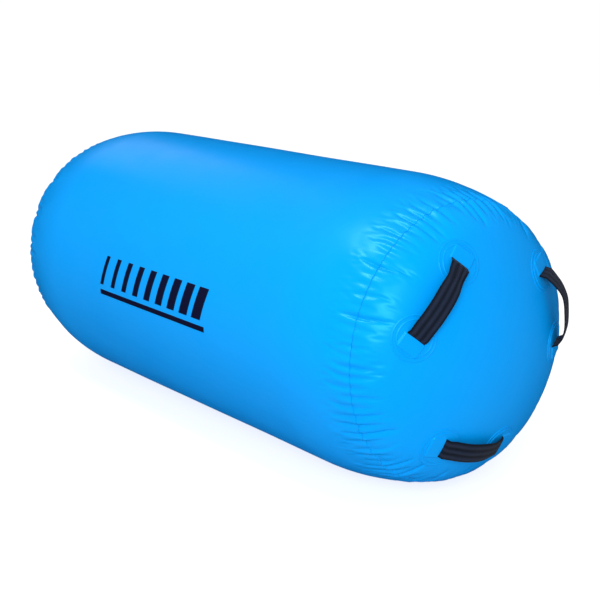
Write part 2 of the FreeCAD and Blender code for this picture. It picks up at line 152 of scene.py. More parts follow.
def outline_arcs():
    """Each stretch of the outline as (length, centre x, centre r, radius, first normal angle)."""
    drop = RADIUS - SEAM_RADIUS
    run = SEAM_X - STRAIGHT_X
    shoulder = (run**2 + drop**2) / (2 * drop)
    start = math.asin(run / shoulder)
    depth = POLE_X - SEAM_X
    # The rim and the crown solve a * rim + b * crown = depth and c * rim + d * crown = SEAM_RADIUS.
    a, b = math.sin(CROWN_ANGLE) - math.sin(start), 1 - math.sin(CROWN_ANGLE)
    c, d = math.cos(start) - math.cos(CROWN_ANGLE), math.cos(CROWN_ANGLE)
    rim = (depth * d - b * SEAM_RADIUS) / (a * d - b * c)
    crown = (a * SEAM_RADIUS - depth * c) / (a * d - b * c)
    rim_x, rim_r = SEAM_X - rim * math.sin(start), SEAM_RADIUS - rim * math.cos(start)
    return [
        (shoulder * start, STRAIGHT_X, RADIUS - shoulder, shoulder, 0.0),
        (rim * (CROWN_ANGLE - start), rim_x, rim_r, rim, start),
        (crown * (math.pi / 2 - CROWN_ANGLE), POLE_X - crown, 0.0, crown, CROWN_ANGLE),
    ]


ARCS = outline_arcs()
SEAM_S = STRAIGHT_X + ARCS[0][0]
POLE_S = SEAM_S + ARCS[1][0] + ARCS[2][0]


def outline(s):
    """x, distance from the axis and normal angle (from radial) at a distance s along the skin."""
    s = np.asarray(s, float)
    x, r, angle = s.copy(), np.full_like(s, RADIUS), np.zeros_like(s)
    start = STRAIGHT_X
    for length, centre_x, centre_r, radius, first in ARCS:
        here = s > start
        turned = first + (s[here] - start) / radius
        x[here] = centre_x + radius * np.sin(turned)
        r[here] = centre_r + radius * np.cos(turned)
        angle[here] = turned
        start += length
    return x, np.maximum(r, 0), angle


def dome_s(reach):
    """Distance along the skin at which the dome is a given distance from the axis."""
    s = np.linspace(SEAM_S, POLE_S, 2000)
    return np.interp(-np.asarray(reach, float), -outline(s)[1], s)


def dome_point(y, z, end=1, height=0.0):
    """Points and outward normals on a dome, from offsets from the axis; end is 1 front, -1 rear."""
    y, z = np.asarray(y, float), np.asarray(z, float)
    reach = np.hypot(y, z)
    x, _, angle = outline(dome_s(reach))
    safe = np.maximum(reach, 1e-9)
    normal = np.stack([end * np.sin(angle), np.cos(angle) * y / safe, np.cos(angle) * z / safe], -1)
    point = np.stack([end * x, y, z + AXIS_Z], -1)
    return point + normal * height, normal


def smooth(edge0, edge1, value):
    t = np.clip((value - edge0) / (edge1 - edge0), 0, 1)
    return t * t * (3 - 2 * t)


def steps(first, last, spacing):
    return np.linspace(first, last, round((last - first) / spacing) + 1)


# Mesh helpers

def new_object(name, verts, faces, material=None):
    mesh = bpy.data.meshes.new(name)
    faces = [list(map(int, face)) for face in faces]
    mesh.from_pydata(np.asarray(verts, float).tolist(), [], faces)
    mesh.update()
    if material:
        mesh.materials.append(material)
    mesh.shade_smooth()
    obj = bpy.data.objects.new(name, mesh)
    bpy.context.scene.collection.objects.link(obj)
    return obj


def obj_points(obj):
    points = np.empty(len(obj.data.vertices) * 3)
    obj.data.vertices.foreach_get("co", points)
    return points.reshape(-1, 3)


def set_uv(obj, uv):
    """One UV point per vertex."""
    mesh = obj.data
    layer = mesh.uv_layers.new(name="sheet")
    index = np.empty(len(mesh.loops), int)
    mesh.loops.foreach_get("vertex_index", index)
    layer.data.foreach_set("uv", np.asarray(uv, float)[index].ravel())


def set_value(obj, name, values):
    """One number per vertex, which materials read by name."""
    attribute = obj.data.attributes.new(name, "FLOAT", "POINT")
    attribute.data.foreach_set("value", np.asarray(values, np.float32))


def subdivide(obj):
    """Applies one level of subdivision."""
    modifier = obj.modifiers.new("Subdivision", "SUBSURF")
    modifier.levels = modifier.render_levels = 1
    modifier.boundary_smooth = "PRESERVE_CORNERS"
    depsgraph = bpy.context.evaluated_depsgraph_get()
    mesh = bpy.data.meshes.new_from_object(obj.evaluated_get(depsgraph))
    obj.modifiers.clear()
    obj.data = mesh
    mesh.shade_smooth()


def ring_faces(counts, starts):
    """Faces between rings; a ring has as many points as the one before it, or half as many."""
    faces = []
    for k in range(len(counts) - 1):
        n0, n1, s0, s1 = counts[k], counts[k + 1], starts[k], starts[k + 1]
        for i in range(n1):
            j = (i + 1) % n1
            if n0 == n1:
                faces.append((s0 + i, s0 + j, s1 + j, s1 + i))
            else:
                a, b, c = s0 + 2 * i, s0 + 2 * i + 1, s0 + (2 * i + 2) % n0
                faces += [(a, b, s1 + i), (b, s1 + j, s1 + i), (b, c, s1 + j)]
    return faces


def tube_faces(count, rings, closed=False):
    """Faces of a tube of equal rings; a closed tube's last ring joins its first."""
    starts = [count * k for k in range(rings)] + [0] * closed
    return ring_faces([count] * len(starts), starts)


def fan_faces(first, count, centre):
    """Faces that fill a ring round its centre point."""
    return [(first + i, first + (i + 1) % count, centre) for i in range(count)]


def grid_faces(rows, columns, first=0):
    """Faces of a sheet of points laid out in rows."""
    corners = [first + i * columns + j for i in range(rows - 1) for j in range(columns - 1)]
    return [(a, a + 1, a + columns + 1, a + columns) for a in corners]


def flipped(faces, flip):
    return [face[::-1] for face in faces] if flip else faces


def outward_faces(obj):
    """Turns the faces of a surface on the wall away from the barrel's axis."""
    mesh = obj.data
    face = mesh.polygons[len(mesh.polygons) // 2]
    outward = Vector((0, face.center.y, face.center.z - AXIS_Z))
    if face.normal.dot(outward) < 0:
        mesh.flip_normals()


def place_piece(obj, node):
    """Fixes the piece to the barrel and lets it stand for a CAD node."""
    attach(obj, "barrel")
    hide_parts(node)


# Puckered ends, by cloth simulation: a straight tube with a flat disc welded on is blown up

def disc_rings():
    """Distance from the seam and number of points for each ring of the end disc."""
    rings, reach, count = [], RADIUS, AROUND
    while reach > 2 * ROW:
        reach -= ROW
        while count % 2 == 0 and TURN * reach / count < THIN_RING:
            count //= 2
        rings.append((RADIUS - reach, count))
    return rings


def tube_rows():
    """Distances along the skin of the tube's rows, from its fixed edge to the seam."""
    rows = round((SEAM_S - PUCKER_START) / ROW)
    return np.linspace(PUCKER_START, SEAM_S, rows + 1)


def pucker_seed(theta, distance):
    """A faint irregular wave near the seam, so that the sheet buckles at its own wavelength."""
    wave = np.zeros_like(theta)
    for count in SEED_WAVES:
        weight = rng.normal() * math.exp(-(((count - PUCKERS) / SEED_SPREAD) ** 2))
        wave += weight * np.cos(count * theta + rng.uniform(0, TURN))
    return SEED_HEIGHT * wave / wave.std() * np.exp(-((distance / SEED_REACH) ** 2))


def flat_end():
    """The uninflated tube and disc as (points, faces, ring starts, ring counts)."""
    rings = [(s, RADIUS, AROUND) for s in tube_rows()]
    rings += [(SEAM_S, RADIUS - distance, count) for distance, count in disc_rings()]
    points, starts = [], []
    for x, r, count in rings:
        starts.append(len(points))
        turn = np.arange(count) * TURN / count
        points += list(zip(np.full(count, x), r * np.cos(turn), r * np.sin(turn)))
    counts = [ring[2] for ring in rings]
    faces = ring_faces(counts, starts) + fan_faces(starts[-1], counts[-1], len(points))
    points.append((SEAM_S, 0.0, 0.0))
    return np.array(points), faces, starts, counts


def inflate():
    """Blows up the flat end and returns its points at rest and inflated, with its rings."""
    points, faces, starts, counts = flat_end()
    theta = np.arctan2(points[:, 2], points[:, 1])
    reach = np.hypot(points[:, 1], points[:, 2])
    distance = np.where(points[:, 0] < SEAM_S - 1e-6, SEAM_S - points[:, 0], RADIUS - reach)
    seed = pucker_seed(theta, distance)
    begin = points.copy()
    begin[:, 1] += seed * np.cos(theta)
    begin[:, 2] += seed * np.sin(theta)
    obj = new_object("inflating_end", begin, faces)
    obj.vertex_groups.new(name="fixed").add(list(range(AROUND)), 1.0, "REPLACE")
    modifier = obj.modifiers.new("Cloth", "CLOTH")
    cloth = modifier.settings
    cloth.quality = 5
    cloth.mass = 0.001
    cloth.air_damping = 1
    cloth.tension_stiffness = cloth.compression_stiffness = 40
    cloth.shear_stiffness = 5
    cloth.bending_stiffness = 0.05
    cloth.tension_damping = cloth.compression_damping = cloth.shear_damping = 5
    cloth.use_pressure = True
    cloth.uniform_pressure_force = 50
    cloth.effector_weights.gravity = 0
    cloth.vertex_group_mass = "fixed"
    modifier.collision_settings.use_collision = False
    scene = bpy.context.scene
    scene.frame_start, scene.frame_end = 1, SIM_FRAMES
    modifier.point_cache.frame_end = SIM_FRAMES
    for number in range(1, SIM_FRAMES + 1):
        scene.frame_set(number)
    depsgraph = bpy.context.evaluated_depsgraph_get()
    inflated = np.empty(len(points) * 3)
    obj.evaluated_get(depsgraph).data.vertices.foreach_get("co", inflated)
    bpy.data.objects.remove(obj)
    scene.frame_set(1)
    return points, inflated.reshape(-1, 3), starts, counts


def puckers():
    """Rings of the inflated end as (distance along the skin, offsets along x, out and round)."""
    points, inflated, starts, counts = inflate()
    rows = tube_rows()
    scale = (POLE_S - SEAM_S) / RADIUS
    lengths = list(rows) + [SEAM_S + scale * distance for distance, _ in disc_rings()]
    rings = []
    for s, start, count in zip(lengths, starts, counts):
        offsets = np.zeros((3, count))
        if inflated is not None:
            ring, flat = inflated[start:start + count], points[start:start + count]
            reach = np.hypot(ring[:, 1], ring[:, 2])
            turn = np.arctan2(ring[:, 2], ring[:, 1]) - np.arctan2(flat[:, 2], flat[:, 1])
            turn = (turn + math.pi) % TURN - math.pi
            calm = smooth(PUCKER_START, PUCKER_START + PUCKER_FADE, s)
            if len(rings) >= len(rows):
                inner, outer = PLAIN_DOME - DOME_FADE[0], PLAIN_DOME + DOME_FADE[1]
                calm = calm * smooth(inner, outer, outline(s)[1])
            out = reach - np.quantile(reach, CALM_SHARE)
            offsets = calm * np.stack([ring[:, 0] - ring[:, 0].mean(), out, turn - turn.mean()])
        rings.append((s, offsets))
    return rings


PUCKER_RINGS = puckers()


# Skin

def wall_ripple(x, theta):
    """The slight unevenness of a sheet under air pressure, from waves along and round the wall."""
    waves = [share * np.sin(along * x + turns * theta + phase)
             for share, along, turns, phase in RIPPLES]
    return RIPPLE_HEIGHT * sum(waves)


def skin_points(s, offsets, end, depth=0.0, theta=None):
    """A ring of the skin, end 1 or -1, puckered and sunk by depth, all round or at given angles."""
    own = np.arange(offsets.shape[1]) * TURN / offsets.shape[1]
    columns = own if theta is None else np.asarray(theta)
    turned = columns - (REAR_TURN if end < 0 else 0.0)
    dx, out, around = (PUCKER_GAIN * np.interp(turned, own, row, period=TURN) for row in offsets)
    x, r, angle = (float(value) for value in outline(s))
    theta = columns + around
    ripple = smooth(PLAIN_DOME, SEAM_RADIUS, r) * wall_ripple(end * x, theta)
    reach = r + out + ripple - depth * math.cos(angle)
    along = end * (x + dx - depth * math.sin(angle))
    z = AXIS_Z + reach * np.sin(theta)
    rise = np.log1p(np.exp(np.clip((z - FLOOR_GAP) / FLOOR_SOFTNESS, -40, 40)))
    z = np.where(z < FLOOR_NEAR, FLOOR_GAP + FLOOR_SOFTNESS * rise, z)
    return np.stack([np.broadcast_to(along, theta.shape), reach * np.cos(theta), z], -1)


def between(first, last, share):
    """A ring between two neighbouring rings of equal count."""
    return first[0] + (last[0] - first[0]) * share, first[1] + (last[1] - first[1]) * share


def half_wall():
    """The wall's rings from the middle to the seam."""
    plain = np.arange(0, PUCKER_START - COARSE_ROW / 2, COARSE_ROW)
    rings = [(s, np.zeros((3, AROUND))) for s in plain]
    return rings + [ring for ring in PUCKER_RINGS if ring[0] <= SEAM_S + 1e-9]


def skin_object(name, points, faces, uv, seam, material):
    """A sheet of the skin, from each ring's points, flat coordinates and share of painted seam shade."""
    obj = new_object(name, np.concatenate(points), faces, material)
    set_uv(obj, np.concatenate(uv))
    set_value(obj, "seam", np.concatenate(seam))
    subdivide(obj)
    return obj


def wall_skin(material):
    """The wall's sheet from seam to seam, with its cut edges tucked in at both ends."""
    tube = half_wall()
    edge = between(tube[-2], tube[-1], 1 - EDGE_INSET / ROW)
    half = [(ring, 0.0) for ring in tube[:-1] + [edge] + tube[-1:]] + [(tube[-1], EDGE_DEPTH)]
    girth = np.arange(AROUND) * TURN / AROUND * RADIUS
    points, uv, seam = [], [], []
    for end, rings in ((-1, half[:0:-1]), (1, half)):
        for (s, offsets), depth in rings:
            points.append(skin_points(s, offsets, end, depth))
            uv.append(np.stack([np.full(AROUND, end * float(s)), girth], -1))
            # painted shade: the tucked edge ring is marked for the seam's darker colour
            seam.append(np.full(AROUND, 1.0 if depth else 0.0))
    faces = flipped(tube_faces(AROUND, len(points)), True)
    return skin_object("barrel_wall_skin", points, faces, uv, seam, material)


def cap_skin(name, end, material, hole=0.0):
    """An end's disc blown out into a dome, its rim under the wall's edge, with an optional hole."""
    disc = [ring for ring in PUCKER_RINGS if ring[0] >= SEAM_S - 1e-9]
    rings = [(between(disc[0], disc[1], share), depth) for share, depth in CAP_RIM]
    rings += [(ring, 0.0) for ring in disc[1:]]
    if hole:
        hole_s = float(dome_s(hole))
        rings = [ring for ring in rings if ring[0][0] < hole_s - ROW / 2]
        lip = hole_s, np.zeros_like(rings[-1][0][1])
        rings += [(lip, 0.0), (lip, SHEET)]
    points, uv, seam = [], [], []
    for (s, offsets), depth in rings:
        ring = skin_points(s, offsets, end, depth)
        points.append(ring)
        reach = np.maximum(1e-6, np.hypot(ring[:, 1], ring[:, 2] - AXIS_Z))
        share = (POLE_S - float(s)) / reach
        uv.append(np.stack([ring[:, 1] * share, (ring[:, 2] - AXIS_Z) * share], -1))
        # painted shade: the rim tucked under the wall's edge is marked for the seam's darker colour
        tucked = depth >= EDGE_DEPTH and float(s) < SEAM_S + ROW / 2
        seam.append(np.full(len(ring), 1.0 if tucked else 0.0))
    counts = [len(ring) for ring in points]
    starts = [sum(counts[:k]) for k in range(len(counts))]
    faces = ring_faces(counts, starts)
    if not hole:
        faces += fan_faces(starts[-1], counts[-1], sum(counts))
        points.append(np.array([[end * POLE_X, 0.0, AXIS_Z]]))
        uv.append(np.zeros((1, 2)))
        seam.append(np.zeros(1))
    return skin_object(name, points, flipped(faces, end > 0), uv, seam, material)


def seam_tape(name, end, material):
    """The inner band over a seam, following the puckers."""
    near = [ring for ring in PUCKER_RINGS if abs(ring[0] - SEAM_S) < TAPE_WIDTH / 2 + 0.0005]
    depth = 3 * SHEET
    rings = [skin_points(s, offsets, end, depth) for s, offsets in near]
    rings += [skin_points(s, offsets, end, depth + SHEET) for s, offsets in near[::-1]]
    faces = flipped(tube_faces(AROUND, len(rings), closed=True), end > 0)
    obj = new_object(name + "_band", np.concatenate(rings), faces, material)
    set_uv(obj, obj_points(obj)[:, 1:])
    place_piece(obj, name)


def wall_strip(name, node, width, low, high, limit, material):
    """A strip along the wall's lap, between two heights over the skin."""
    inner = width / 2 - STRIP_EDGE
    lean = np.concatenate([[-width / 2], np.linspace(-inner, inner, STRIP_COLUMNS), [width / 2]])
    height = np.concatenate([[low], np.full(STRIP_COLUMNS, high), [low]])
    height[[1, -2]] += STRIP_BEVEL * np.sign(high - low)
    theta = LAP_ANGLE + lean / RADIUS
    rings = [ring for ring in half_wall() if ring[0] <= limit]
    rows = [skin_points(s, offsets, -1, -height, theta) for s, offsets in rings[:0:-1]]
    rows += [skin_points(s, offsets, 1, -height, theta) for s, offsets in rings]
    obj = new_object(name, np.concatenate(rows), grid_faces(len(rows), len(lean)), material)
    set_uv(obj, np.stack([obj_points(obj)[:, 0], np.tile(lean, len(rows))], -1))
    outward_faces(obj)
    place_piece(obj, node)


def wall_lap(sheet, tape):
    """The wall's own edge lapped over itself, and the tape inside it."""
    wall_strip("wall_lap", "barrel_wall", LAP_WIDTH, 0.0, SHEET,
               SEAM_S - LAP_STOP, sheet)
    wall_strip("wall_lap_tape", "wall_seam_tape", TAPE_WIDTH, -2 * SHEET, -3 * SHEET,
               SEAM_S - TAPE_STOP, tape)


def print_film(material):
    """The bars and the rule, each a thin film that follows the wall."""
    pitch = PRINT_LENGTH / PRINT_BARS
    start = -PRINT_LENGTH / 2
    low = PRINT_Z + 2 * PRINT_RULE
    shapes = [(start, PRINT_LENGTH, PRINT_Z, PRINT_RULE, 0.0)]
    for bar in range(PRINT_BARS):
        wide = pitch * (BAR_SHARE + BAR_GROWTH * bar)
        shapes.append((start + bar * pitch, wide, low, PRINT_HEIGHT, PRINT_SLANT))
    points, faces, uv, total = [], [], [], 0
    for left, wide, foot, tall, slant in shapes:
        across = steps(PRINT_ACROSS / 2, wide - PRINT_ACROSS / 2, PRINT_ACROSS)
        up = steps(PRINT_UP / 2, tall - PRINT_UP / 2, PRINT_UP)
        xs = np.concatenate([[0, PRINT_EDGE], across, [wide - PRINT_EDGE, wide]])
        zs = np.concatenate([[0, PRINT_EDGE], up, [tall - PRINT_EDGE, tall]])
        x, z = np.meshgrid(xs, zs, indexing="ij")
        height = np.full(x.shape, PRINT_FILM)
        height[[0, -1], :] = height[:, [0, -1]] = PRINT_FOOT
        x = left + x + slant * z / tall
        theta = math.pi - np.arcsin((foot + z) / RADIUS)
        reach = RADIUS + wall_ripple(x, theta) + height
        spots = np.stack([x, reach * np.cos(theta), AXIS_Z + reach * np.sin(theta)], -1)
        points.append(spots.reshape(-1, 3))
        uv.append(np.stack([x, z], -1).reshape(-1, 2))
        faces += grid_faces(*x.shape, total)
        total += x.size
    obj = new_object("side_print_film", np.concatenate(points), faces, material)
    set_uv(obj, np.concatenate(uv))
    outward_faces(obj)
    place_piece(obj, "side_print")


# Patches welded to the domes

class Patch:
    """Flat coordinates on a dome about a point y, z: u along a given direction, v across it."""

    def __init__(self, y, z, away, end):
        self.end = end
        self.place, normal = dome_point(y, z, end)
        self.u = away - normal * (away @ normal)
        self.u /= np.linalg.norm(self.u)
        self.v = np.cross(normal, self.u)
        self.normal = normal

    def points(self, u, v, height):
        u, v, height = np.broadcast_arrays(u, v, height)
        flat = self.place + u[..., None] * self.u + v[..., None] * self.v
        return dome_point(flat[..., 1], flat[..., 2] - AXIS_Z, self.end, height[..., None])[0]


def bead(reach, radius):
    """A weld bead round a patch."""
    return BEAD_HEIGHT * np.exp(-(((reach - radius) / BEAD_WIDTH) ** 2))


def ring_height(u, v, reach, rim):
    """A plain ring patch: flat sheet with a bead just inside its rim."""
    return SHEET + bead(reach, rim - BASE_BEAD)


def cover_height(u, v, reach, rim):
    """The cover patch: flat, with a bead inside its rim and a pocket over the webbing's tail."""
    half = WEBBING_WIDTH / 2 + POCKET_MARGIN
    raised = smooth(-POCKET_LIP, POCKET_LIP, u) * smooth(TAIL_LENGTH + POCKET_END, TAIL_LENGTH, u)
    raised = raised * smooth(half + POCKET_SIDE, half, np.abs(v))
    corner = np.hypot(np.maximum(u - TAIL_LENGTH + POCKET_CORNER, 0),
                      np.maximum(np.abs(v) - half + POCKET_CORNER, 0))
    raised = raised * smooth(POCKET_CORNER + POCKET_ROUND, POCKET_CORNER, corner)
    weave = POCKET_WEAVE * np.sin(v * TURN / POCKET_PITCH)
    return COVER_HEIGHT + bead(reach, rim - COVER_BEAD) + raised * (POCKET_HEIGHT + weave)


def patch_rings(inner, rim, spacing, fine, foot):
    """Rings as (radius, fixed height or None): coarse, then fine by the bead, then the cut edge."""
    radii = [(r, None) for r in steps(inner, rim - fine - 0.0005, spacing)]
    radii += [(r, None) for r in steps(rim - fine, rim - 0.0003, BEAD_ROW)]
    return radii + [(rim, foot + SHEET), (rim + 0.0001, foot)]


def disc_piece(name, node, patch, rings, height, material, closed=False):
    """A round patch from its rings; height gives the heights that the rings leave open."""
    turn = np.arange(PATCH_AROUND) * TURN / PATCH_AROUND
    rim = rings[-2][0]
    points = []
    for radius, fixed in rings:
        u, v = radius * np.cos(turn), radius * np.sin(turn)
        points.append(patch.points(u, v, height(u, v, radius, rim) if fixed is None else fixed))
    faces = tube_faces(PATCH_AROUND, len(rings))
    if closed:
        faces += flipped(fan_faces(0, PATCH_AROUND, len(rings) * PATCH_AROUND), True)
        middle = np.zeros(1)
        points.append(patch.points(middle, middle, height(middle, middle, 0.0, rim)))
    obj = new_object(name, np.concatenate(points), flipped(faces, patch.end > 0), material)
    set_uv(obj, (obj_points(obj) - patch.place) @ np.stack([patch.u, patch.v], 1))
    place_piece(obj, node)


def handle_patches(name, letter, patch, material):
    base = patch_rings(BASE_PATCH_HOLE, BASE_PATCH_RADIUS, PATCH_ROW, BASE_FINE, PATCH_FOOT)
    disc_piece(f"{name}_base_ring_{letter}", f"{name}_base_patch_{letter}",
               patch, base, ring_height, material)
    cover = patch_rings(0.0008, COVER_PATCH_RADIUS, POCKET_ROW, COVER_FINE, COVER_FOOT)
    disc_piece(f"{name}_cover_disc_{letter}", f"{name}_cover_patch_{letter}",
               patch, cover, cover_height, material, closed=True)


def valve_ring(material):
    """The reinforcing patch round the valve."""
    patch = Patch(0.0, 1e-6, np.array([0.0, 0.0, 1.0]), -1)
    rings = [(VALVE_HOLE + 0.0002, 0.0)]
    rings += patch_rings(VALVE_HOLE + 0.0003, VALVE_PATCH_RADIUS, PATCH_ROW, BASE_FINE, PATCH_FOOT)
    disc_piece("valve_patch_ring", "valve_patch", patch, rings, ring_height, material)


# Webbing handles

class Strap:
    """How one strap lies: t runs from -1 at slit a to 1 at slit b."""

    RISER_TOP, FULL_WIDTH, SETTLED, SADDLE_FOOT = 0.93, 0.85, 0.72, 0.75    # values of t
    SADDLE = 0.0007           # how far the edges bend down in the slits
    NECK_SPREAD = 0.24
    PLEATS_AT, PLEATS_SPREAD, PLEATS_WAVE, PLEATS_DRIFT = -0.70, 0.22, 15.0, 1.3

    def __init__(self, rise, riser, full, skew, neck, cup, ribs, pleats, lean, twist):
        self.rise = rise          # height of the arch over the chord
        self.riser = riser        # how far it stands up out of its slit before it turns
        self.full = full          # how square the arch is: 2 is a parabola
        self.skew = skew          # how far the arch leans towards slit b
        self.neck = neck          # (t, share of width lost) where the webbing gathers
        self.cup = cup            # how far the edges bend down
        self.ribs = ribs          # height of three lengthwise ridges
        self.pleats = pleats      # height of fine pleats near slit a
        self.lean = lean          # sideways offset of the middle, across the strap
        self.twist = twist        # turn of the cross-section in the middle, in radians

    def path(self, t):
        """Distance along the chord and height over it, for the webbing's middle line."""
        reach = min(abs(t), 1.0)
        arch = (1 - reach**self.full) * (1 + self.skew * t * (1 - reach))
        riser = self.riser * float(smooth(1.0, self.RISER_TOP, reach))
        return math.copysign(reach, t) * HALF_CHORD, riser + (self.rise - self.riser) * arch

    def half_width(self, t):
        place, loss = self.neck
        gather = loss * math.exp(-(((t - place) / self.NECK_SPREAD) ** 2))
        return WEBBING_WIDTH / 2 * (1 - gather * float(smooth(1.0, self.FULL_WIDTH, abs(t))))

    def lift(self, t, v, settle):
        """Heights of a cross-section over its middle; v runs from -1 to 1 over the width."""
        ridges = 0.5 * self.ribs * settle * (np.cos(v * 3 * math.pi) - 1)
        pleat = self.pleats * math.exp(-(((t - self.PLEATS_AT) / self.PLEATS_SPREAD) ** 2))
        pleats = pleat * np.sin(v * self.PLEATS_WAVE + self.PLEATS_DRIFT * t)
        saddle = self.SADDLE * float(smooth(self.SADDLE_FOOT, 1.0, abs(t)))
        return ridges + pleats - (saddle + self.cup * settle) * v**2

    def section(self, t, v, middle, along, across, outward):
        """A cross-section's points and normal, from the handle's middle and directions."""
        x, z = self.path(t)
        ahead, behind = self.path(t + 0.002), self.path(t - 0.002)
        climb = math.atan2(ahead[1] - behind[1], ahead[0] - behind[0])
        up = -math.sin(climb) * along + math.cos(climb) * outward
        settle = float(smooth(1.0, self.SETTLED, abs(t)))
        turn = self.twist * settle
        flat = math.cos(turn) * across + math.sin(turn) * up
        up = math.cos(turn) * up - math.sin(turn) * across
        spot = middle + along * x + outward * z + across * self.lean * settle
        points = np.outer(v * self.half_width(t), flat) + np.outer(self.lift(t, v, settle), up)
        return spot + points, up


STRAPS = {
    1: Strap(0.0450, 0.0100, 2.6, 0.35, (0.40, 0.22), 0.0014, 0.0004, 0.0010, 0.0010, 0.08),
    2: Strap(0.0330, 0.0060, 2.2, 0.00, (-0.60, 0.17), 0.0018, 0.0004, 0.0017, -0.0015, 0.05),
    3: Strap(0.0310, 0.0060, 2.2, 0.00, (0.60, 0.14), 0.0020, 0.0010, 0.0002, 0.0020, -0.06),
}


def half_strap(name, strap, middle, along, outward, patch, side, material):
    """The webbing from inside one slit's pocket to the handle's middle."""
    across = np.cross(outward, along)
    v = np.linspace(-1, 1, STRAP_COLUMNS)
    same_way = 1.0 if patch.v @ across > 0 else -1.0
    sections = []
    for u in np.linspace(TAIL_LENGTH - TAIL_SLACK, 0.0, TAIL_ROWS):
        line = patch.points(u, same_way * v * WEBBING_WIDTH / 2, TAIL_HEIGHT)
        sections.append((line, dome_point(line[:, 1], line[:, 2] - AXIS_Z, patch.end)[1]))
    for t in 1 - np.linspace(0.0, 1.0, FREE_ROWS)[1:] ** ROW_BUNCHING:
        sections.append(strap.section(side * t, v, middle, along, across, outward))
    edge = np.maximum(np.sqrt(1 - np.abs(v) ** EDGE_SQUARENESS), EDGE_LEAST)
    thick = edge * WEBBING / 2 * (1 + THREAD_RELIEF * np.cos(v * THREADS * math.pi))
    thick = thick[:, None]
    rings = [np.concatenate([line + up * thick, (line - up * thick)[::-1]])
             for line, up in sections]
    cores = np.array([line.mean(0) for line, _ in sections])
    travelled = np.append(0.0, np.linalg.norm(np.diff(cores, axis=0), axis=1).cumsum())
    width = np.concatenate([v, v[::-1]]) * WEBBING_WIDTH / 2
    count = len(width)
    faces = tube_faces(count, len(rings)) + [tuple(range(count))[::-1]]
    obj = new_object(name, np.concatenate(rings), flipped(faces, side * patch.end < 0), material)
    set_uv(obj, np.stack([np.repeat(travelled, count), np.tile(width, len(rings))], -1))
    return obj


def handles(materials):
    for end_name, end in (("front", 1), ("rear", -1)):
        for number, strap in STRAPS.items():
            name = f"{end_name}_handle_{number}"
            joint = JOINTS[f"{name}_swing"]
            along = np.array(joint["axis"], float)
            middle = np.array(joint["pos_m"], float)
            patches = {}
            for side, letter in ((-1, "a"), (1, "b")):
                spot = middle + side * HALF_CHORD * along
                patches[side] = Patch(spot[1], spot[2] - AXIS_Z, side * along, end)
                handle_patches(name, letter, patches[side], materials["patch_blue"])
            outward = patches[-1].normal + patches[1].normal
            outward -= along * (outward @ along)
            outward /= np.linalg.norm(outward)
            for side, letter in ((-1, "a"), (1, "b")):
                half = half_strap(f"{name}_webbing_{letter}", strap, middle, along, outward,
                                  patches[side], side, materials["webbing"])
                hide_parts(f"{name}_grip", f"{name}_webbing_ends")
                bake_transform(half)


# Valve

def valve_point(x, y, out):
    """A point given in the valve's own axes: y up, out away from the rear dome's middle."""
    return (-POLE_X - out, -x, AXIS_Z + y)


def wire(name, path, radius, material, sides=12):
    """A round wire along a path of points."""
    path = np.asarray(path, float)
    ahead = np.gradient(path, axis=0)
    ahead /= np.linalg.norm(ahead, axis=1)[:, None]
    side = np.cross(ahead, [1.0, 0.0, 0.0])
    side /= np.linalg.norm(side, axis=1)[:, None]
    other = np.cross(ahead, side)
    turn = (np.arange(sides) * TURN / sides)[None, :, None]
    rings = path[:, None] + radius * (np.cos(turn) * side[:, None] + np.sin(turn) * other[:, None])
    faces = tube_faces(sides, len(path))
    last = (len(path) - 1) * sides
    faces += [tuple(range(sides))[::-1], tuple(range(last, last + sides))]
    return new_object(name, rings.reshape(-1, 3), faces, material)


def valve_spring(material):
    """The spring, a wire coiled round the valve's axis."""
    turn = np.linspace(0, TURN * SPRING_TURNS, 24 * SPRING_TURNS + 1)
    out = np.linspace(SPRING_LOW, SPRING_HIGH, len(turn))
    path = [valve_point(SPRING_RADIUS * math.cos(t), SPRING_RADIUS * math.sin(t), o)
            for t, o in zip(turn, out)]
    spring = wire("valve_spring_coil", path, SPRING_WIRE, material)
    place_piece(spring, "valve_spring")
    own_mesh(spring)


def tether_bend(material):
    """The tether's bend, between its ring round the neck and its ring round the lid."""
    middle, bend = (TETHER_LOW + TETHER_HIGH) / 2, (TETHER_HIGH - TETHER_LOW) / 2
    angles = np.linspace(-math.pi / 2, math.pi / 2, 17)
    path = [(-TETHER_TIP - bend * math.cos(a), middle + bend * math.sin(a)) for a in angles]
    path.insert(0, (TETHER_FLAT - TETHER_TIP, TETHER_LOW))
    path.append((TETHER_FLAT - TETHER_TIP, TETHER_HIGH))
    side = [(-1, 0.7), (-0.93, 1), (0, 1), (0.93, 1), (1, 0.7)]
    loop = side + [(x, -push) for x, push in side[::-1]] + side[:1]
    points = []
    for y, out in path:
        away = np.array([y + TETHER_TIP if y < -TETHER_TIP else 0.0, out - middle])
        away /= np.linalg.norm(away)
        for x, push in loop:
            shift = away * push * TETHER_THICK / 2
            points.append(valve_point(x * TETHER_WIDTH / 2, y + shift[0], out + shift[1]))
    bridge = new_object("valve_tether_bend", points, grid_faces(len(path), len(loop)), material)
    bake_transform(bridge)


# Materials

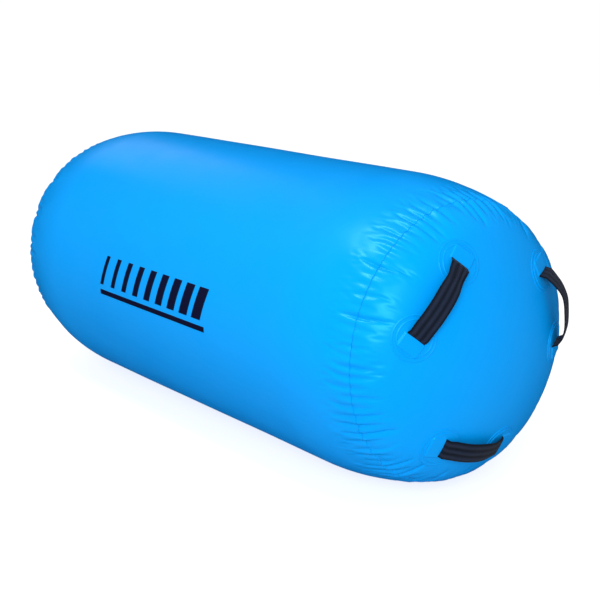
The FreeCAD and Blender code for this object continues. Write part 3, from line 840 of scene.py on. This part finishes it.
BLUE = (0.0, 0.305, 0.86)
PALE_BLUE = (0.0, 0.33, 0.88)
# painted shade in the seam's groove
SEAM_SHADE_BLUE = (0.0, 0.16, 0.50)
COAT_TINT = (0.12, 0.75, 1.0)
YARN_DARK, YARN_LIGHT = (0.003, 0.006, 0.018), (0.019, 0.028, 0.058)
# the selvage colour is also the painted shade in the valleys between the webbing's ribs
YARN_FADED, SELVAGE_AND_VALLEY_SHADE = (0.028, 0.043, 0.084), (0.001, 0.002, 0.007)
YARN_TINT = (0.5, 0.7, 1.0)
INK, WORN_INK = (0.003, 0.004, 0.030), (0.004, 0.02, 0.10)
STEEL = (0.6, 0.6, 0.62)
BLACK_PLASTIC, GREY_PLASTIC = (0.02, 0.02, 0.023), (0.55, 0.56, 0.58)
TETHER_BLACK, RUBBER = (0.03, 0.03, 0.033), (0.03, 0.03, 0.03)
SCRIM_PITCH = 0.0016
TWILL_PITCH, TWILL_LEAN, HERRINGBONE, YARN_PITCH = 0.0024, 1.1, 0.0042, 0.0014
# pitch of the painted shade bands in the rib valleys, and where the selvage begins and is full
BAND_PITCH, SELVAGE_START, SELVAGE_FULL = 0.0155, 0.0205, 0.0230


def rgba(colour, tone=1.0):
    return [min(1.0, part * tone) for part in colour] + [1.0]


class Nodes:
    """A short way to build a node material."""

    def __init__(self, name):
        self.material = bpy.data.materials.new(name)
        self.material.use_nodes = True
        self.tree = self.material.node_tree
        self.shader = self.tree.nodes["Principled BSDF"]

    def feed(self, socket, value):
        """Links a node's output to a socket, or sets the socket to a plain value."""
        if isinstance(value, bpy.types.NodeSocket):
            self.tree.links.new(value, socket)
        else:
            socket.default_value = value

    def add(self, kind, inputs, **settings):
        node = self.tree.nodes.new("ShaderNode" + kind)
        for key, value in settings.items():
            setattr(node, key, value)
        for key, value in inputs.items():
            self.feed(node.inputs[key], value)
        return node

    def set(self, **inputs):
        for key, value in inputs.items():
            self.feed(self.shader.inputs[key.replace("_", " ")], value)

    def maths(self, operation, first, second=0.0, third=0.5, clamp=False):
        inputs = {0: first, 1: second, 2: third}
        return self.add("Math", inputs, operation=operation, use_clamp=clamp).outputs[0]

    def wave(self, place, pitch, shape="SINE"):
        """A sine or cosine wave of a given pitch."""
        return self.maths(shape, self.maths("MULTIPLY", place, TURN / pitch))

    def noise(self, scale, detail=3.0, rough=0.5):
        place = self.add("TexCoord", {}).outputs["Object"]
        inputs = {"Vector": place, "Scale": scale, "Detail": detail, "Roughness": rough}
        return self.add("TexNoise", inputs).outputs["Fac"]

    def spread(self, value, low, high, first=0.0, last=1.0):
        """Maps a value from first to last onto low to high."""
        return self.add("MapRange", {0: value, 1: first, 2: last, 3: low, 4: high}).outputs[0]

    def mix(self, factor, first, second):
        inputs = {0: factor, 6: first, 7: second}
        return self.add("Mix", inputs, data_type="RGBA").outputs[2]

    def bump(self, height, strength, distance, normal=None):
        inputs = {"Height": height, "Strength": strength, "Distance": distance}
        if normal is not None:
            inputs["Normal"] = normal
        return self.add("Bump", inputs).outputs["Normal"]

    def sheet_axes(self):
        """The piece's own flat coordinates."""
        flat = self.add("UVMap", {}, uv_map="sheet").outputs[0]
        return self.add("SeparateXYZ", {0: flat}).outputs[:2]


def pvc(name, tone=1.0):
    """Glossy coated sheet: a faint scrim under the coat, soft scuffs, and painted shade along the seam."""
    n = Nodes(name)
    mottle = n.maths("MULTIPLY", n.noise(7.0, 4.0), 0.5)
    base = n.mix(mottle, rgba(BLUE, tone), rgba(PALE_BLUE, tone))
    seam = n.add("Attribute", {}, attribute_name="seam").outputs["Fac"]
    # painted shade: the seam's groove is darkened towards deep blue, where the wall's cut edge shades it
    base = n.mix(n.maths("MULTIPLY", seam, 0.5), base, rgba(SEAM_SHADE_BLUE))
    rough = n.spread(n.noise(12.0, 3.0), 0.28, 0.36, 0.3, 0.7)
    threads = [n.wave(axis, SCRIM_PITCH) for axis in n.sheet_axes()]
    scrim = n.maths("MULTIPLY_ADD", n.maths("MULTIPLY", *threads), 0.5, 0.5)
    weave = n.bump(scrim, 0.05, 0.0002)
    skin = n.bump(n.noise(420.0, 2.0), 0.03, 0.0003, weave)
    sag = n.bump(n.noise(26.0, 2.0), 0.10, 0.002, skin)
    n.set(Base_Color=base, Roughness=rough, Normal=sag, Specular_IOR_Level=0.4,
          Specular_Tint=rgba(COAT_TINT))
    return n.material


def webbing():
    """Charcoal woven webbing: herringbone yarns, dark selvages, and painted shade in bands along the valleys
    between its ribs.
    """
    n = Nodes("webbing")
    along, across = n.sheet_axes()
    lean = n.maths("MULTIPLY", n.maths("PINGPONG", across, HERRINGBONE), TWILL_LEAN)
    twill = n.wave(n.maths("ADD", along, lean), TWILL_PITCH)
    yarn = n.wave(across, YARN_PITCH)
    height = n.maths("ADD", n.maths("MULTIPLY", twill, 0.5), n.maths("MULTIPLY", yarn, 0.4))
    fuzz = n.noise(900.0, 3.0)
    tone = n.maths("MULTIPLY", height, 0.22)
    tone = n.maths("ADD", tone, n.maths("MULTIPLY", fuzz, 0.9), clamp=True)
    faded = n.maths("MULTIPLY", n.noise(30.0, 4.0), 0.35)
    # painted shade: darker bands along the valleys between the strap's lengthwise ribs
    valley_shade = n.maths("MULTIPLY_ADD", n.wave(across, BAND_PITCH, "COSINE"), -0.35, 0.5)
    selvage = n.spread(n.maths("ABSOLUTE", across), 0.0, 1.0, SELVAGE_START, SELVAGE_FULL)
    colour = n.mix(tone, rgba(YARN_DARK), rgba(YARN_LIGHT))
    colour = n.mix(faded, colour, rgba(YARN_FADED))
    # the selvage colour darkens the edges, and as painted shade the rib valleys
    colour = n.mix(n.maths("MAXIMUM", valley_shade, selvage), colour, rgba(SELVAGE_AND_VALLEY_SHADE))
    normal = n.bump(height, 0.45, 0.0005, n.bump(fuzz, 0.25, 0.0004))
    n.set(Base_Color=colour, Roughness=0.78, Normal=normal, Specular_IOR_Level=0.22,
          Specular_Tint=rgba(YARN_TINT), Sheen_Weight=0.05, Sheen_Roughness=0.5)
    return n.material


def navy_print():
    """Screen-printed ink on the sheet."""
    n = Nodes("side_print_ink")
    worn = n.maths("MULTIPLY", n.maths("GREATER_THAN", n.noise(160.0, 6.0, 0.7), 0.66), 0.25)
    grain = n.bump(n.noise(500.0, 2.0), 0.1, 0.0003)
    n.set(Base_Color=n.mix(worn, rgba(INK), rgba(WORN_INK)), Roughness=0.42, Normal=grain,
          Specular_IOR_Level=0.4)
    return n.material


def moulded(name, colour, rough=0.42, grain=0.15):
    """Moulded plastic or rubber with softened edges and a fine grain."""
    n = Nodes(name)
    tone = n.mix(n.noise(60.0, 4.0), rgba(colour, 0.85), rgba(colour, 1.2))
    edge = n.add("Bevel", {"Radius": 0.0005}, samples=6).outputs[0]
    normal = n.bump(n.noise(1500.0, 3.0), grain, 0.0002, edge)
    marks = n.spread(n.noise(90.0, 5.0), rough - 0.06, rough + 0.10)
    n.set(Base_Color=tone, Roughness=marks, Normal=normal)
    return n.material


def spring_steel():
    n = Nodes("spring_steel")
    grain = n.bump(n.noise(2500.0), 0.1, 0.0001)
    n.set(Base_Color=rgba(STEEL), Metallic=1.0, Roughness=0.28, Normal=grain)
    return n.material


def paint_cad(materials):
    """Gives every CAD node the material of its slot."""
    slots = {part["node"]: part["material_slot"] for part in RECORD["subparts"]}
    for node, obj in frame["nodes"].items():
        obj.data.materials.clear()
        obj.data.materials.append(materials[slots[node]])
        obj.data.shade_smooth()
        obj.data.set_sharp_from_angle(angle=math.radians(35))


# Studio

CAMERA_PLACE = (6.7324, -5.1044, 2.1221)    # from the barrel's middle, in barrel radii
CAMERA_DOWN, CAMERA_HEADING = 14.44, 139.72
CAMERA_LENS, CAMERA_SENSOR = 69.89, 36
CAMERA_SHIFT = (-0.0418, -0.0170)
LIGHTS = (                                  # name, place, aim, size, watts
    ("strip", (-0.2, -1.6, 4.2), (0.7, -0.2, 0.6), (1.3, 0.5), 62),
    ("side", (4.2, -4.0, 2.8), (0.4, 0, 0.4), (3.0, 2.0), 240),
    ("back", (-5.6, 1.2, 3.5), (-0.5, -0.1, 0.7), (2.4, 1.0), 7),
)
WORLD_LIGHT, WORLD_SEEN = 0.62, 1.0         # strength on the barrel, and straight into the camera
FLOOR_GLOW, FLOOR_SEEN = 0.35, 0.76         # the same for the floor
FLOOR_GREY = (0.42, 0.42, 0.42)
FLOOR_REACH = 300


def camera():
    """Looks down the barrel from its front end, a little above it."""
    data = bpy.data.cameras.new("camera")
    obj = bpy.data.objects.new("camera", data)
    bpy.context.scene.collection.objects.link(obj)
    obj.location = Vector(CAMERA_PLACE) * RADIUS + Vector((0, 0, AXIS_Z))
    obj.rotation_euler = (math.radians(90 - CAMERA_DOWN), 0, math.radians(CAMERA_HEADING - 90))
    data.sensor_width = CAMERA_SENSOR
    data.lens = CAMERA_LENS
    data.shift_x, data.shift_y = CAMERA_SHIFT
    bpy.context.scene.camera = obj


def area_light(name, place, aim, size, power):
    data = bpy.data.lights.new(name, "AREA")
    data.shape = "RECTANGLE"
    data.size, data.size_y = size
    data.energy = power
    obj = bpy.data.objects.new(name, data)
    bpy.context.scene.collection.objects.link(obj)
    obj.location = place
    obj.rotation_euler = (Vector(aim) - Vector(place)).to_track_quat("-Z", "Y").to_euler()


def studio():
    """A white floor and sky, lit from above, from beside the camera and from behind."""
    world = bpy.data.worlds.new("studio")
    bpy.context.scene.world = world
    world.use_nodes = True
    tree = world.node_tree
    background = tree.nodes["Background"]
    background.inputs[0].default_value = rgba((1, 1, 1))
    path = tree.nodes.new("ShaderNodeLightPath")
    strength = tree.nodes.new("ShaderNodeMapRange")
    strength.inputs[3].default_value = WORLD_LIGHT
    strength.inputs[4].default_value = WORLD_SEEN
    tree.links.new(path.outputs["Is Camera Ray"], strength.inputs[0])
    tree.links.new(strength.outputs[0], background.inputs[1])
    world.cycles_visibility.glossy = False
    for light in LIGHTS:
        area_light(*light)
    n = Nodes("floor")
    camera_ray = n.add("LightPath", {}).outputs["Is Camera Ray"]
    n.set(Base_Color=rgba(FLOOR_GREY), Roughness=0.9, Specular_IOR_Level=0.0,
          Emission_Color=rgba((1, 1, 1)),
          Emission_Strength=n.spread(camera_ray, FLOOR_GLOW, FLOOR_SEEN))
    n.material.cycles.emission_sampling = "NONE"
    corners = np.array([(-1, -1, 0), (1, -1, 0), (1, 1, 0), (-1, 1, 0)]) * FLOOR_REACH
    floor = new_object("floor", corners, [(0, 1, 2, 3)], n.material)
    floor.visible_glossy = False
    bpy.context.scene.view_settings.view_transform = "Standard"


def main():
    materials = {
        "skin_blue": pvc("pvc_blue"),
        "patch_blue": pvc("pvc_patch", 0.97),
        "seam_tape": pvc("pvc_tape", 0.9),
        "print_navy": navy_print(),
        "webbing": webbing(),
        "valve_plastic": moulded("valve_plastic", BLACK_PLASTIC),
        "button_plastic": moulded("button_plastic", GREY_PLASTIC),
        "tether_plastic": moulded("tether_plastic", TETHER_BLACK, 0.55),
        "seal_rubber": moulded("seal_rubber", RUBBER, 0.65, 0.3),
        "spring_steel": spring_steel(),
    }
    sheet = materials["skin_blue"]
    paint_cad(materials)
    place_piece(wall_skin(sheet), "barrel_wall")
    place_piece(cap_skin("front_cap_skin", 1, sheet), "front_end_cap")
    place_piece(cap_skin("rear_cap_skin", -1, sheet, VALVE_HOLE), "rear_end_cap")
    seam_tape("front_seam_tape", 1, materials["seam_tape"])
    seam_tape("rear_seam_tape", -1, materials["seam_tape"])
    wall_lap(sheet, materials["seam_tape"])
    print_film(materials["print_navy"])
    valve_ring(materials["patch_blue"])
    valve_spring(materials["spring_steel"])
    tether_bend(materials["tether_plastic"])
    handles(materials)
    camera()
    studio()


main()
